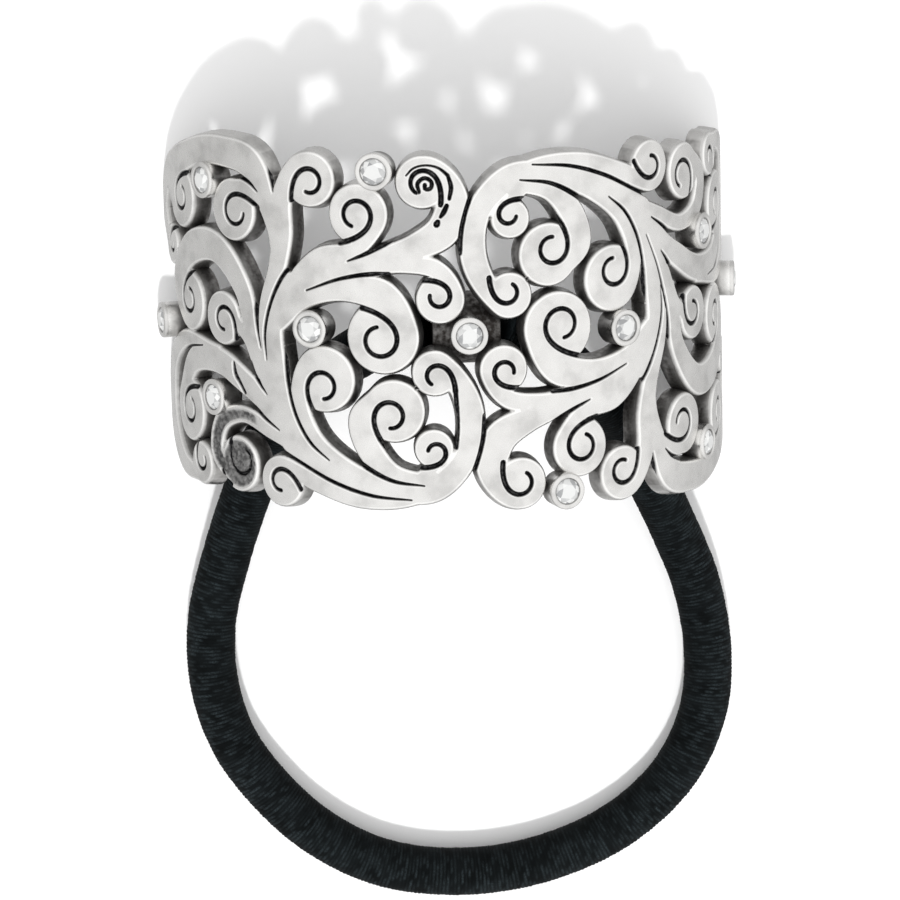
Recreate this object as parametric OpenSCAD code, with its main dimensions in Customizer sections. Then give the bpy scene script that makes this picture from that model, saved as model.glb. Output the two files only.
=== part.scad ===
// Hair tie: an arched, pierced scrollwork cuff with round crystals, carried on a loop of elastic.
// The scrollwork is drawn flat, in millimetres u around the arch and v along it, with the centre
// crystal at 0, 0. It is the same after half a turn about that crystal, so the tables hold one half.

/* [Cuff] */
// Outer radius of the arch
cuff_r = 22.5; // [22:0.5:24]
// Thickness of the cast plate
plate_t = 1.6; // [1.4:0.1:2]
// Length of the arch from its crown to each foot, measured around the outside
foot_u = 33.8; // [33:0.1:34.2]
// Depth of the engraved lines
groove_d = 0.6; // [0.4:0.05:0.8]
// Width of the engraved lines
groove_w = 0.38; // [0.3:0.02:0.44]
// Rim of metal around the stems and discs of the tables
rim = 0.15; // [0.1:0.01:0.15]
// How much wider than its table each disc is below its engraved face, where it joins its neighbours
skirt = 0.25; // [0.24:0.01:0.3]
// Number of facets around the arch
facets = 18; // [14:2:24]

/* [Settings] */
// Outer radius of a bezel
bezel_r = 1.4; // [1.35:0.05:1.5]
// Wall of a bezel
bezel_wall = 0.28; // [0.2:0.02:0.35]
// Height of a bezel above the plate
bezel_h = 0.55; // [0.3:0.05:0.9]
// Depth of the seat below a bezel's rim
seat_d = 0.95; // [0.85:0.05:1.2]
// Clearance around a crystal in its seat
crystal_gap = 0.08; // [0.05:0.01:0.15]

/* [Sleeve] */
// Length of the sleeve that holds the elastic
sleeve_l = 5.2; // [4:0.2:5.6]
// Wall of the sleeve
sleeve_wall = 0.6; // [0.5:0.05:0.8]
// Clearance around the elastic in the sleeve
sleeve_gap = 0.15; // [0.1:0.05:0.2]

/* [Elastic] */
// Diameter of the covered elastic
elastic_d = 4; // [3.6:0.1:4]

/* [Hidden] */

// Each scroll: sections [u, v, width] of its stem, disc [u, v, radius], eye [u, v, reach] of its
// engraved spiral, then the angle at which the stem meets the disc, the way it turns (1
// anticlockwise), the angle at which the line opens, how far it turns, and the stem's end width.
SCROLLS = [
    // Middle panel, upper row
    [[[-16.7, -3.4, 1], [-16.7, 1.6, 1.3], [-15.5, 5, 1.5], [-15, 7.4, 1.7],
        [-14.9, 10.2, 1.7]],
        [-12.4, 11.75, 2.02], [-12.4, 11.55, 2.15], 95, -1, 222, 335, 1.35],
    [[[-14.4, 3.2, 1.6], [-11.6, 5.6, 1.9], [-8.4, 6.75, 1.1]],
        [-8.5, 9.2, 2.22], [-8.65, 9.15, 2.5], -25, 1, 238, 370, 1.4],
    [[[-13.6, 3.6, 1.4], [-9.6, 4.9, 1.2], [-6.5, 5.95, 1.5], [-4, 6.8, 1.9], [-2, 8, 2.4],
        [-1.3, 10.4, 2.2]], [-3.55, 11.6, 1.9], [-3.5, 11.5, 2.1], 90, 1, -50, 285, 1.3],
    // Middle panel, centre row
    [[[-14, 3, 1.4], [-9, 4.9, 1.3], [-5, 5.4, 1.1], [-2.7, 5.05, 1.3]],
        [-2.35, 2.75, 1.75], [-2.45, 2.95, 1.8], 20, -1, 135, 325, 1.1],
    [[[-15.4, 0.6, 1], [-12.9, 2.8, 1.5], [-9.8, 3.5, 1.7], [-6.9, 3.05, 2.4]],
        [-6.8, -0.1, 2.7], [-7.05, -0.35, 2.85], 20, -1, 119, 379, 1.9],
    // Middle panel, lower row
    [[[-5, -11.7, 0.7], [-9.8, -10.3, 1.2], [-12.9, -7.8, 1.4], [-13.85, -4.9, 1.4]],
        [-11.65, -3.45, 2.45], [-11.8, -4.05, 2.5], 120, -1, 260, 345, 1.5],
    [[[-3.4, -11.2, 0.9], [-6.4, -10.5, 1.4], [-8.2, -8.5, 1.9], [-8.75, -6.4, 1.7]],
        [-6.1, -5.75, 2.3], [-6.4, -6.15, 2.45], 140, -1, 262, 354, 1.6],
    [[[-7, -12, 1.4], [-3, -11.65, 1.9], [-0.75, -9.4, 1.7], [-0.22, -6, 1.85]],
        [-2.9, -2.85, 1.65], [-2.75, -3.1, 1.8], 45, 1, -40, 275, 1.5],
    [[[-6, -11.4, 1], [-4, -10.9, 1.1]],
        [-3.1, -8.65, 1.4], [-2.95, -8.95, 1.6], -60, 1, 225, 300, 1.1],
    // Side panel, top leaf
    [[[-15.9, 8.2, 0.9], [-16.6, 10.9, 1.6], [-17.9, 12.7, 2.3], [-21, 13.45, 2.2],
        [-25.5, 13, 2.1], [-29.9, 10.4, 2.6]], [-27.7, 9.4, 2.35], [-27.7, 9.4, 2.35], 200, 1, 55, 375, 2],
    [[[-15.4, 5, 1], [-15.7, 8, 1.3], [-17.1, 10.5, 1.5]],
        [-19.95, 9.05, 2.3], [-19.65, 8.95, 2.5], 85, 1, 10, 340, 1.4],
    [[[-26.5, 13, 1.4], [-30.9, 11.1, 2], [-33.1, 8.2, 2]],
        [-30.4, 5.3, 1.5], [-30.3, 5.4, 1.5], 190, 1, 60, 300, 1.1],
    // Side panel, middle leaf
    [[[-16.4, -5, 1], [-18.1, -1.2, 1.3], [-19.2, 3, 1.7], [-22.4, 5.95, 2.3], [-26.6, 5.2, 2.5],
        [-29, 2.3, 2]], [-26.6, 1.3, 2.3], [-26.75, 1.4, 2.3], 225, 1, 72, 375, 1.5],
    [[[-17.6, -3.4, 0.8], [-18.7, -0.8, 1]],
        [-21.6, 0.5, 2], [-21.45, 0.4, 2.1], 15, 1, -50, 320, 1.1],
    // Side panel, lower leaf
    [[[-15.4, -7, 1.2], [-19, -4.4, 1.8], [-22.6, -2.9, 2], [-26.4, -3.5, 1.9]],
        [-27.4, -7.4, 2.5], [-27.4, -7.4, 2.5], 140, 1, 50, 375, 1.7],
    [[[-22.4, -2.2, 0.8], [-28.2, -2, 1.3], [-32.1, -5, 2], [-32.6, -8.4, 2.4], [-29, -12.1, 1.6]],
        [-25.5, -11.5, 1.6], [-25.5, -11.3, 1.6], 255, 1, 110, 280, 1],
    [[[-12.6, -9.4, 1.2], [-16.4, -7.9, 1.2], [-19.8, -6.85, 1.2], [-22.4, -7.9, 1.6],
        [-23, -10.2, 1.6]], [-20.2, -10.8, 2.1], [-20, -10.5, 2.5], 225, 1, 107, 315, 1.4],
    [[[-3.4, -12, 0.9], [-5.2, -12.6, 0.9], [-9, -12.7, 1], [-12.6, -11.5, 1.3]],
        [-15.7, -11.65, 1.9], [-15.8, -11.65, 1.9], 75, 1, -15, 285, 1.25],
];

// Stems with no curl of their own, as sections [u, v, width]
TRUNKS = [
    [[-4, -12.1, 0.8], [-8, -11.7, 1.6], [-12.4, -9.8, 2.5], [-15.4, -6.6, 2.9], [-16.25, -2.4, 2.3],
        [-15.9, 1, 1.6], [-14.2, 3.6, 1.9]],
    [[-14, -8.4, 2], [-17, -6.8, 1.6]],
];

// Engraved lines between stems, as sections [u, v, width as a share of groove_w]
LINES = [
    [[-14.95, -1.2, 1], [-14.8, -4, 0.9], [-14.1, -6.6, 0.9], [-12.9, -8.5, 0.8], [-11.4, -9.7, 0.4]],
    [[-4.9, -12.6, 0.4], [-8, -12.3, 0.8], [-11, -11.4, 0.9], [-14, -10, 0.9], [-16.9, -8.75, 1.5]],
    [[-3.9, -11.5, 0.4], [-6.4, -11.1, 0.9], [-8.2, -10.2, 1.1], [-9, -9.65, 1.1]],
    [[-16.8, -2.3, 0.4], [-16.9, -0.3, 0.8], [-16.2, 2.2, 0.9], [-15.2, 4, 1], [-13.9, 5.5, 1]],
    [[-9.4, 5.65, 0.4], [-8, 6.2, 0.9], [-6.5, 6.95, 1.1], [-5.7, 7.4, 1]],
    [[-12.9, 3.3, 0.4], [-10, 4.3, 0.8], [-7.4, 4.7, 1], [-6.2, 4.7, 1]],
    [[-17.35, -1.4, 0.4], [-17.6, -0.2, 0.7], [-17.72, 1.1, 1], [-17.7, 2.6, 1]],
    [[-16.9, -5, 0.4], [-17.6, -4.2, 0.9], [-18.1, -3.5, 1.1], [-18.5, -2.7, 1.2]],
    [[-15.8, -7.7, 0.4], [-17.2, -6.85, 0.9], [-18, -6.25, 1.1], [-19, -5.7, 1.2]],
    [[-17.2, 10.6, 0.4], [-18, 11.25, 0.9], [-19, 11.65, 1.1], [-20.2, 11.9, 1.2]],
    [[-15.65, 10.7, 0.4], [-15.9, 12, 1], [-16.1, 13.2, 1.8]],
    [[-24.6, -2, 0.4], [-27.2, -2.5, 0.7], [-29.3, -3.9, 1], [-30.3, -6.3, 1], [-30.1, -8.6, 1],
        [-28.6, -10.1, 1]],
    [[0.8, 12, 1.4], [0, 10.2, 1], [-0.6, 8.2, 1], [-0.85, 6.2, 1.2]],
];

// Crystals as [u, v, how much higher than the rest its bezel stands]: the centre one, then those
// that half a turn repeats
CRYSTALS = [[-0.25, 0, 0], [-7.08, 12.45, 0], [-12.5, 0.42, 0], [-23.1, 11.1, 0],
    [-22.6, -5.8, 0], [-30.8, -0.8, 0.5]];

// Strips of metal below the face, as sections [u, v, width], where a bezel stands clear of the scrolls
BRIDGES = [
    [[-30.8, -0.8, 1.6], [-28, 0.8, 1.6]],
    [[-2.9, 2.9, 1.6], [2.9, 2.9, 1.6]],
];

// Middle line of the elastic as [x, y, share of the way from lying flat up to the sleeve], from the
// sleeve round the loop and back to the sleeve
ROUTE = [
    [-3.2, 0, 1], [-5.6, -0.7, 0.934], [-8.4, -2.4, 0.776], [-11.1, -4.8, 0.592],
    [-13.5, -7.6, 0.395], [-15.3, -11, 0.22], [-16.7, -15, 0.1], [-18.5, -20.4, 0.026],
    [-19.9, -26, 0], [-19.9, -31, 0], [-18.5, -36, 0], [-15.7, -40.3, 0], [-12.2, -43.9, 0],
    [-7, -47, 0], [0, -48.3, 0], [7.4, -47.4, 0], [13.4, -44.8, 0], [18.2, -40.3, 0],
    [20.5, -35, 0], [20.8, -30, 0], [19.9, -24.6, 0.007], [17.7, -19, 0.066], [15.6, -14.6, 0.19],
    [13.6, -10.6, 0.386], [11.4, -7.4, 0.59], [8.6, -4.5, 0.776], [5.6, -1.6, 0.934], [2.7, 0, 1],
];
elastic_sides = 12;

// The plate is faceted around the arch, with its corners a little outside the true radius
facet_a = 2 * foot_u / facets / cuff_r * 180 / PI;
corner_share = (facet_a / 2 * PI / 180) / sin(facet_a / 2);
foot_a = foot_u / cuff_r * 180 / PI;
inner_r = cuff_r - plate_t;
axis_z = -inner_r * corner_share * cos(foot_a);
curve_steps = 2;
spiral_steps = 9;
disc_sides = 13;
skirt_sides = 10;
bezel_sides = 12;
sleeve_sides = 20;
crystal_r = bezel_r - bezel_wall - crystal_gap;
last_crystal = 10;

// Place of the sleeve's middle along X, a little to the left of the centre crystal, and how far the
// sleeve reaches into the plate that it is soldered to
sleeve_x = -0.3;
join = 0.33;
sleeve_r = elastic_d / 2 + sleeve_gap + sleeve_wall;
sleeve_z = axis_z + inner_r + join - sleeve_r;

// How far a disc's own body reaches below the floor of its lines, and how far its skirt ends below
// that floor
body_drop = 0.4;
skirt_drop = 0.1;
bridge_drop = 0.3;
// How far cutters and blanks reach past what they cut
past = 2;

function along(p) = [p[0], p[1]];
function polar(r, a) = r * [cos(a), sin(a)];

// Rate of change of the sections s at place i, for each millimetre along them
function rate(s, i) =
    let(n = len(s) - 1, j = i == 0 ? 1 : i, k = i == n ? n - 1 : i)
    let(a = s[j] - s[j - 1], b = s[k + 1] - s[k], la = norm(along(a)), lb = norm(along(b)))
    (a * lb / la + b * la / lb) / (la + lb);

// Smooth curve through the sections s, which leaves the last one along end
function curve(s, end, steps) =
    let(n = len(s) - 1)
    concat([for (i = [0:n - 1])
        let(l = norm(along(s[i + 1] - s[i])), a = rate(s, i) * l,
            b = i == n - 1 ? [end[0] * l, end[1] * l, s[n][2] - s[i][2]] : rate(s, i + 1) * l)
        for (k = [0:steps - 1])
            let(t = k / steps)
            (2 * t ^ 3 - 3 * t ^ 2 + 1) * s[i] + (t ^ 3 - 2 * t ^ 2 + t) * a
                + (3 * t ^ 2 - 2 * t ^ 3) * s[i + 1] + (t ^ 3 - t ^ 2) * b],
        [s[n]]);

// Sections of a stem, closed by the one where it runs onto its disc
function stem(row) =
    let(disc = row[1], a = row[3], w = row[7])
    concat(row[0], [concat(along(disc) + polar(disc[2] - w / 2, a), [w])]);

function stem_curve(row) = curve(stem(row), polar(row[4], row[3] + 90), curve_steps);

// The engraved spiral drops from its reach to a round eye
function spiral_share(turn) = 0.5 * exp(-turn / 32) + 0.5 - 0.13 * turn / 360;

function spiral(row) =
    [for (k = [0:spiral_steps])
        let(turn = row[6] * k / spiral_steps)
        concat(along(row[2]) + polar(row[2][2] * spiral_share(turn), row[5] + row[4] * turn),
            [groove_w * min(1, (1 - k / spiral_steps) * 6 + 0.4)])];

// Outline of a ribbon of the width that its points p give, and extra on each side
function ribbon(p, extra = 0) =
    let(n = len(p) - 1)
    let(side = [for (i = [0:n])
        let(d = along(p[min(i + 1, n)] - p[max(i - 1, 0)]))
        [-d[1], d[0]] / norm(d) * (p[i][2] / 2 + extra)])
    concat([for (i = [0:n]) along(p[i]) + side[i]], [for (i = [n:-1:0]) along(p[i]) - side[i]]);

// Line sections with their widths in millimetres
function line_width(s) = [for (p = s) [p[0], p[1], p[2] * groove_w]];

function end_of(s) =
    let(n = len(s) - 1, d = along(s[n] - s[n - 1]))
    d / norm(d);

// Place around the arch that a ribbon is cut square to: the middle of its sections s
function middle(s) = (min([for (p = s) p[0]]) + max([for (p = s) p[0]])) / 2;

// Flat outline, as seen square to the arch at place u, of points that lie on the arch
function seen_from(points, u) =
    [for (p = points) [cuff_r * sin((p[0] - u) / cuff_r * 180 / PI), p[1]]];

module both_halves() {
    children();
    rotate(180) children();
}

// Cuts a ribbon's outline straight through the plate, square to it at the ribbon's middle
module cut_out(points, u) {
    rotate([0, u / cuff_r * 180 / PI, 0]) translate([0, 0, cuff_r * 0.7])
        linear_extrude(cuff_r * 0.4) polygon(seen_from(points, u));
}

// Cross-section of the arch, from its foot angle round to the other, made solid along Y
module arch(r_in, r_out) {
    function arc(r, turn) = [for (i = [0:facets])
        let(a = turn * (i * facet_a - foot_a))
        r * corner_share * [sin(a), cos(a)]];
    rotate([90, 0, 0]) linear_extrude(40, center = true)
        polygon(concat(arc(r_in, 1), arc(r_out, -1)));
}

module stems() {
    for (row = SCROLLS) cut_out(ribbon(stem_curve(row), rim), middle(stem(row)));
    for (s = TRUNKS) cut_out(ribbon(curve(s, end_of(s), curve_steps), rim), middle(s));
}

module bridges() {
    intersection() {
        arch(inner_r, cuff_r - groove_d - bridge_drop);
        for (s = BRIDGES) cut_out(ribbon(s), middle(s));
    }
}

// Discs, each on a wider skirt that ends below the engraved face
module discs() {
    for (row = SCROLLS) on_arch(row[1]) {
        translate([0, 0, -groove_d - body_drop])
            cylinder(r = row[1][2] + rim, h = past, $fn = disc_sides);
        translate([0, 0, -plate_t - past])
            cylinder(r = row[1][2] + skirt, h = plate_t + past - groove_d - skirt_drop, $fn = skirt_sides);
    }
}

module engraving() {
    for (row = SCROLLS)
        on_arch(row[1]) translate([0, 0, -groove_d]) linear_extrude(past)
            polygon(seen_from([for (p = ribbon(spiral(row))) p - [0, row[1][1]]], row[1][0]));
    intersection() {
        arch(cuff_r - groove_d, cuff_r + past);
        for (s = LINES) cut_out(ribbon(line_width(s)), middle(s));
    }
}

// Puts something on the outside of the arch, +Z outwards
module on_arch(place) {
    rotate([0, place[0] / cuff_r * 180 / PI, 0]) translate([0, place[1], cuff_r]) children();
}

module bezel(top) {
    bevel = 0.12;
    low = -plate_t * 0.9;
    difference() {
        translate([0, 0, low]) hull() {
            cylinder(r = bezel_r, h = top - bevel - low, $fn = bezel_sides);
            cylinder(r = bezel_r - bevel, h = top - low, $fn = bezel_sides);
        }
        translate([0, 0, top - seat_d])
            cylinder(r = bezel_r - bezel_wall, h = past, $fn = bezel_sides);
    }
}

// Tube soldered across the inside of the crown
module sleeve() {
    translate([sleeve_x, 0, sleeve_z]) rotate([0, 90, 0]) difference() {
        cylinder(r = sleeve_r, h = sleeve_l, center = true, $fn = sleeve_sides);
        cylinder(r = sleeve_r - sleeve_wall, h = sleeve_l + past, center = true, $fn = sleeve_sides);
    }
}

function crystal_row(i) = CRYSTALS[ceil(i / 2)];
function crystal_place(i) = along(crystal_row(i)) * (i == 0 || i % 2 == 1 ? 1 : -1);
function bezel_top(i) = bezel_h + crystal_row(i)[2];

module cuff() {
    color("silver") {
        translate([0, 0, axis_z]) {
            difference() {
                intersection() {
                    arch(inner_r, cuff_r);
                    both_halves() {
                        stems();
                        bridges();
                        discs();
                    }
                }
                both_halves() engraving();
                for (i = [0:last_crystal]) on_arch(crystal_place(i))
                    translate([0, 0, bezel_top(i) - seat_d])
                        cylinder(r = bezel_r - bezel_wall / 2, h = past, $fn = bezel_sides);
            }
            for (i = [0:last_crystal]) on_arch(crystal_place(i)) bezel(bezel_top(i));
        }
        sleeve();
    }
}

// Place i of the elastic's middle line, in millimetres
function route_point(i) =
    let(p = ROUTE[i % len(ROUTE)], low = elastic_d / 2)
    [p[0], p[1], low + p[2] * (sleeve_z - low)];

// Rings of the elastic: each at right angles to the route, with one side kept upward
function ring(i) =
    let(along_route = route_point(i + 1) - route_point(i + len(ROUTE) - 1))
    let(d = along_route / norm(along_route), s = cross(d, [0, 0, 1]), side = s / norm(s))
    let(up = cross(side, d))
    [for (k = [0:elastic_sides - 1])
        let(a = 360 * k / elastic_sides)
        route_point(i) + elastic_d / 2 * (cos(a) * side + sin(a) * up)];

module elastic() {
    n = len(ROUTE);
    m = elastic_sides;
    color("black") polyhedron(
        points = [for (i = [0:n - 1]) each ring(i)],
        faces = [for (i = [0:n - 1], k = [0:m - 1]) let(j = (i + 1) % n, l = (k + 1) % m)
            [i * m + k, j * m + k, j * m + l, i * m + l]]);
}

// A round brilliant: table, crown, girdle and pavilion, standing in its seat
module crystal(i) {
    sides = 8;
    sink = 0.2;
    table_z = 0.3;
    table_share = 0.55;
    girdle_t = 0.1;
    depth = 0.6;
    culet_share = 0.2;
    module level(r, z, turn) {
        translate([0, 0, z]) rotate(turn) cylinder(r = r, h = 0.01, $fn = sides);
    }
    color("white") translate([0, 0, axis_z]) on_arch(crystal_place(i))
        translate([0, 0, bezel_top(i) - sink]) hull() {
            level(crystal_r * table_share, table_z, 180 / sides);
            level(crystal_r, 0, 0);
            level(crystal_r, -girdle_t, 0);
            level(crystal_r * culet_share, -depth, 0);
        }
}

cuff();
elastic();
for (i = [0:last_crystal]) crystal(i);
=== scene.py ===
"""Looks of the hair tie: an antique silver scrollwork cuff with crystals, on a loop of black elastic.

The scrollwork is worked out flat, in millimetres u around the arch and v along it, from the middle of
the cuff. Its tables hold one half, which half a turn about that middle repeats.
"""

import math

import bpy
import numpy as np
from mathutils import Matrix, Vector
from mathutils.geometry import delaunay_2d_cdt


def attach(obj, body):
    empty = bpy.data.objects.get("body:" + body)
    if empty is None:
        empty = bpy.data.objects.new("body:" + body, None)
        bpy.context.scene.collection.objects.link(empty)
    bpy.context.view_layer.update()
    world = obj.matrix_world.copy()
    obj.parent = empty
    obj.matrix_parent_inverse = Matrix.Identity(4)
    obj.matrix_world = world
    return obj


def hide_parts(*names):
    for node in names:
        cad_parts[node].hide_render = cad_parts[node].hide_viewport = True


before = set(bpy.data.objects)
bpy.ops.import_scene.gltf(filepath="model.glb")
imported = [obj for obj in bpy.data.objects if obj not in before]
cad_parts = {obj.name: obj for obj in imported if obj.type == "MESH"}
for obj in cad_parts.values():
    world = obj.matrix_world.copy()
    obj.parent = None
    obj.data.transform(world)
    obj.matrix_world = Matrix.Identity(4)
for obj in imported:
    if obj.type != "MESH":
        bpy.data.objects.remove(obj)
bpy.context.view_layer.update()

MM = 0.001

# Sizes of the cuff, in millimetres, as in the part's source
CUFF_R = 22.5
PLATE_T = 1.6
FOOT_U = 33.8
GROOVE_W = 0.38
RIM = 0.15
ELASTIC_D = 4.0
SLEEVE_L = 5.2
SLEEVE_X = -0.3
SLEEVE_BORE = 2.15
SLEEVE_R = 2.75
SLEEVE_JOIN = 0.33
AXIS_Z = -(CUFF_R - PLATE_T) * math.cos(FOOT_U / CUFF_R)
SLEEVE_Z = CUFF_R - PLATE_T + AXIS_Z + SLEEVE_JOIN - SLEEVE_R

# Each scroll: sections (u, v, width) of its stem, disc (u, v, radius), eye (u, v, reach) of its
# engraved spiral, then the angle at which the stem meets the disc, the way it turns (1
# anticlockwise), the angle at which the line opens, how far it turns, and the stem's end width.
SCROLLS = [
    # Middle panel, upper row
    ([(-16.7, -3.4, 1), (-16.7, 1.6, 1.3), (-15.5, 5, 1.5), (-15, 7.4, 1.7),
      (-14.9, 10.2, 1.7)],
     (-12.4, 11.75, 2.02), (-12.4, 11.55, 2.15), 95, -1, 222, 335, 1.35),
    ([(-14.4, 3.2, 1.6), (-11.6, 5.6, 1.9), (-8.4, 6.75, 1.1)],
     (-8.5, 9.2, 2.22), (-8.65, 9.15, 2.5), -25, 1, 238, 370, 1.4),
    ([(-13.6, 3.6, 1.4), (-9.6, 4.9, 1.2), (-6.5, 5.95, 1.5), (-4, 6.8, 1.9), (-2, 8, 2.4),
      (-1.3, 10.4, 2.2)], (-3.55, 11.6, 1.9), (-3.5, 11.5, 2.1), 90, 1, -50, 285, 1.3),
    # Middle panel, centre row
    ([(-14, 3, 1.4), (-9, 4.9, 1.3), (-5, 5.4, 1.1), (-2.7, 5.05, 1.3)],
     (-2.35, 2.75, 1.75), (-2.45, 2.95, 1.8), 20, -1, 135, 325, 1.1),
    ([(-15.4, 0.6, 1), (-12.9, 2.8, 1.5), (-9.8, 3.5, 1.7), (-6.9, 3.05, 2.4)],
     (-6.8, -0.1, 2.7), (-7.05, -0.35, 2.85), 20, -1, 119, 379, 1.9),
    # Middle panel, lower row
    ([(-5, -11.7, 0.7), (-9.8, -10.3, 1.2), (-12.9, -7.8, 1.4), (-13.85, -4.9, 1.4)],
     (-11.65, -3.45, 2.45), (-11.8, -4.05, 2.5), 120, -1, 260, 345, 1.5),
    ([(-3.4, -11.2, 0.9), (-6.4, -10.5, 1.4), (-8.2, -8.5, 1.9), (-8.75, -6.4, 1.7)],
     (-6.1, -5.75, 2.3), (-6.4, -6.15, 2.45), 140, -1, 262, 354, 1.6),
    ([(-7, -12, 1.4), (-3, -11.65, 1.9), (-0.75, -9.4, 1.7), (-0.22, -6, 1.85)],
     (-2.9, -2.85, 1.65), (-2.75, -3.1, 1.8), 45, 1, -40, 275, 1.5),
    ([(-6, -11.4, 1), (-4, -10.9, 1.1)],
     (-3.1, -8.65, 1.4), (-2.95, -8.95, 1.6), -60, 1, 225, 300, 1.1),
    # Side panel, top leaf
    ([(-15.9, 8.2, 0.9), (-16.6, 10.9, 1.6), (-17.9, 12.7, 2.3), (-21, 13.45, 2.2),
      (-25.5, 13, 2.1), (-29.9, 10.4, 2.6)],
     (-27.7, 9.4, 2.35), (-27.7, 9.4, 2.35), 200, 1, 55, 375, 2),
    ([(-15.4, 5, 1), (-15.7, 8, 1.3), (-17.1, 10.5, 1.5)],
     (-19.95, 9.05, 2.3), (-19.65, 8.95, 2.5), 85, 1, 10, 340, 1.4),
    ([(-26.5, 13, 1.4), (-30.9, 11.1, 2), (-33.1, 8.2, 2)],
     (-30.4, 5.3, 1.5), (-30.3, 5.4, 1.5), 190, 1, 60, 300, 1.1),
    # Side panel, middle leaf
    ([(-16.4, -5, 1), (-18.1, -1.2, 1.3), (-19.2, 3, 1.7), (-22.4, 5.95, 2.3), (-26.6, 5.2, 2.5),
      (-29, 2.3, 2)], (-26.6, 1.3, 2.3), (-26.75, 1.4, 2.3), 225, 1, 72, 375, 1.5),
    ([(-17.6, -3.4, 0.8), (-18.7, -0.8, 1)],
     (-21.6, 0.5, 2), (-21.45, 0.4, 2.1), 15, 1, -50, 320, 1.1),
    # Side panel, lower leaf
    ([(-15.4, -7, 1.2), (-19, -4.4, 1.8), (-22.6, -2.9, 2), (-26.4, -3.5, 1.9)],
     (-27.4, -7.4, 2.5), (-27.4, -7.4, 2.5), 140, 1, 50, 375, 1.7),
    ([(-22.4, -2.2, 0.8), (-28.2, -2, 1.3), (-32.1, -5, 2), (-32.6, -8.4, 2.4), (-29, -12.1, 1.6)],
     (-25.5, -11.5, 1.6), (-25.5, -11.3, 1.6), 255, 1, 110, 280, 1),
    ([(-12.6, -9.4, 1.2), (-16.4, -7.9, 1.2), (-19.8, -6.85, 1.2), (-22.4, -7.9, 1.6),
      (-23, -10.2, 1.6)], (-20.2, -10.8, 2.1), (-20, -10.5, 2.5), 225, 1, 107, 315, 1.4),
    ([(-3.4, -12, 0.9), (-5.2, -12.6, 0.9), (-9, -12.7, 1), (-12.6, -11.5, 1.3)],
     (-15.7, -11.65, 1.9), (-15.8, -11.65, 1.9), 75, 1, -15, 285, 1.25),
]

# Stems with no curl of their own, as sections (u, v, width)
TRUNKS = [
    [(-4, -12.1, 0.8), (-8, -11.7, 1.6), (-12.4, -9.8, 2.5), (-15.4, -6.6, 2.9), (-16.25, -2.4, 2.3),
     (-15.9, 1, 1.6), (-14.2, 3.6, 1.9)],
    [(-14, -8.4, 2), (-17, -6.8, 1.6)],
]

# Engraved lines between stems, as sections (u, v, width as a share of GROOVE_W)
LINES = [
    [(-14.95, -1.2, 1), (-14.8, -4, 0.9), (-14.1, -6.6, 0.9), (-12.9, -8.5, 0.8), (-11.4, -9.7, 0.4)],
    [(-4.9, -12.6, 0.4), (-8, -12.3, 0.8), (-11, -11.4, 0.9), (-14, -10, 0.9), (-16.9, -8.75, 1.5)],
    [(-3.9, -11.5, 0.4), (-6.4, -11.1, 0.9), (-8.2, -10.2, 1.1), (-9, -9.65, 1.1)],
    [(-16.8, -2.3, 0.4), (-16.9, -0.3, 0.8), (-16.2, 2.2, 0.9), (-15.2, 4, 1), (-13.9, 5.5, 1)],
    [(-9.4, 5.65, 0.4), (-8, 6.2, 0.9), (-6.5, 6.95, 1.1), (-5.7, 7.4, 1)],
    [(-12.9, 3.3, 0.4), (-10, 4.3, 0.8), (-7.4, 4.7, 1), (-6.2, 4.7, 1)],
    [(-17.35, -1.4, 0.4), (-17.6, -0.2, 0.7), (-17.72, 1.1, 1), (-17.7, 2.6, 1)],
    [(-16.9, -5, 0.4), (-17.6, -4.2, 0.9), (-18.1, -3.5, 1.1), (-18.5, -2.7, 1.2)],
    [(-15.8, -7.7, 0.4), (-17.2, -6.85, 0.9), (-18, -6.25, 1.1), (-19, -5.7, 1.2)],
    [(-17.2, 10.6, 0.4), (-18, 11.25, 0.9), (-19, 11.65, 1.1), (-20.2, 11.9, 1.2)],
    [(-15.65, 10.7, 0.4), (-15.9, 12, 1), (-16.1, 13.2, 1.8)],
    [(-24.6, -2, 0.4), (-27.2, -2.5, 0.7), (-29.3, -3.9, 1), (-30.3, -6.3, 1), (-30.1, -8.6, 1),
     (-28.6, -10.1, 1)],
    [(0.8, 12, 1.4), (0, 10.2, 1), (-0.6, 8.2, 1), (-0.85, 6.2, 1.2)],
]

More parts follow.
